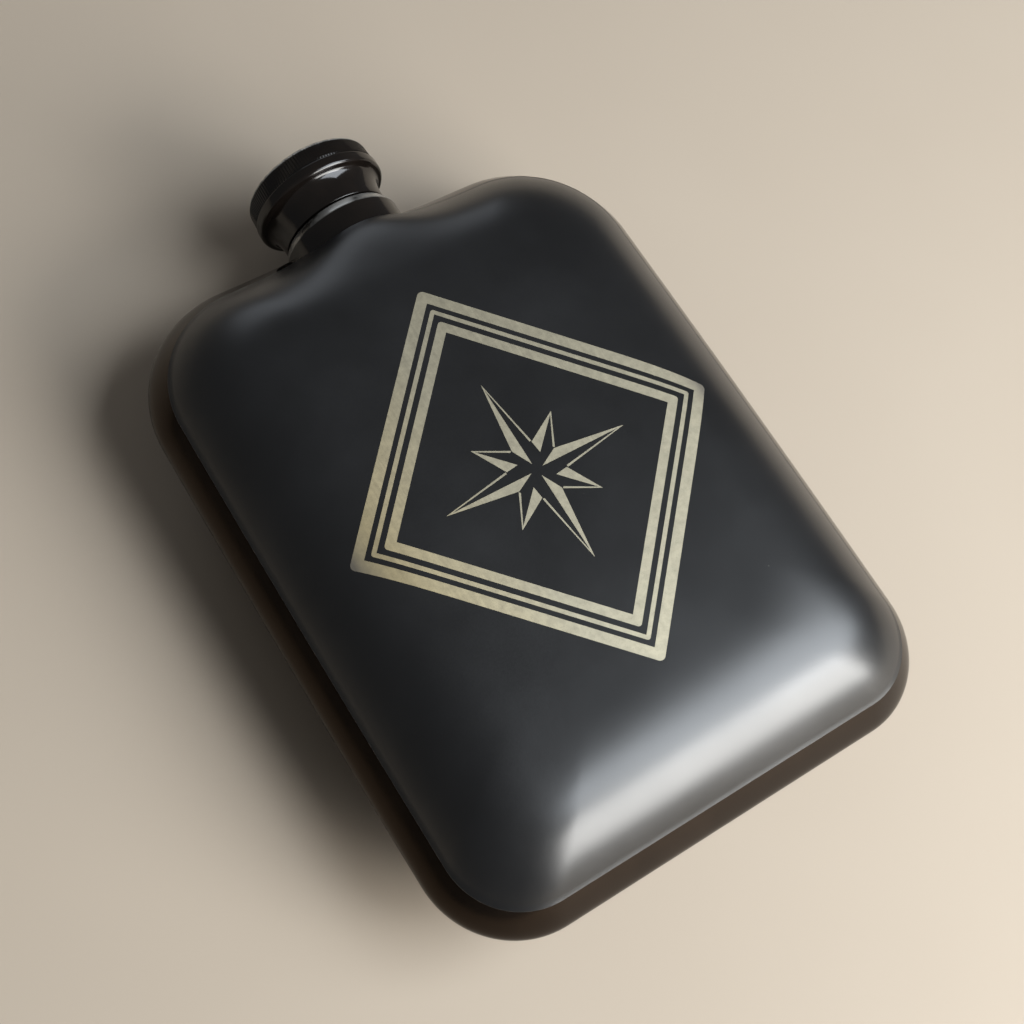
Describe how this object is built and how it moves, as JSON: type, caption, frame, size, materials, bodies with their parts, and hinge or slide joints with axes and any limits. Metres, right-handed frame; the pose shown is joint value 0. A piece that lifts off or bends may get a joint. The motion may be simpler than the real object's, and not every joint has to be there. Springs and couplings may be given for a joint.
{
  "type": "hip flask",
  "caption": "Pillow-shaped metal hip flask with a rounded rectangular body, bulged side wall, flared neck collar and a screw cap with a toothed grip.",
  "frame": {"origin": "middle of the flat land on the back, which the flask lies on", "axes": "+X across the flask, +Y out of the neck along the cap's axis, +Z out of the front face"},
  "size_m": [0.09, 0.1285, 0.03],
  "materials": {
    "satin_black": "satin powder coat",
    "gloss_black": "gloss enamel",
    "bare_steel": "brushed, warm grey",
    "seal": "matt silicone"
  },
  "bodies": {
    "flask": {"front_shell": "satin_black", "back_shell": "satin_black", "side_band": "gloss_black", "neck_collar": "gloss_black", "neck_spout": "bare_steel"},
    "cap_lift": {"cap_seal": "seal"},
    "cap": {"cap_shell": "gloss_black", "cap_top": "gloss_black", "cap_insert": "bare_steel"}
  },
  "joints": [
    {"name": "cap_rise", "type": "slide", "parent": "flask", "child": "cap_lift", "axis": [0, 1, 0], "range_m": [0, 0.0075]},
    {"name": "cap_turn", "type": "hinge", "parent": "cap_lift", "child": "cap", "pos_m": [0, 0.0575, 0.015], "axis": [0, 1, 0], "range_deg": [0, 1080]}
  ],
  "couplings": [
    {"joint": "cap_rise", "follows": "cap_turn", "m_per_rad": 0.00039789}
  ]
}
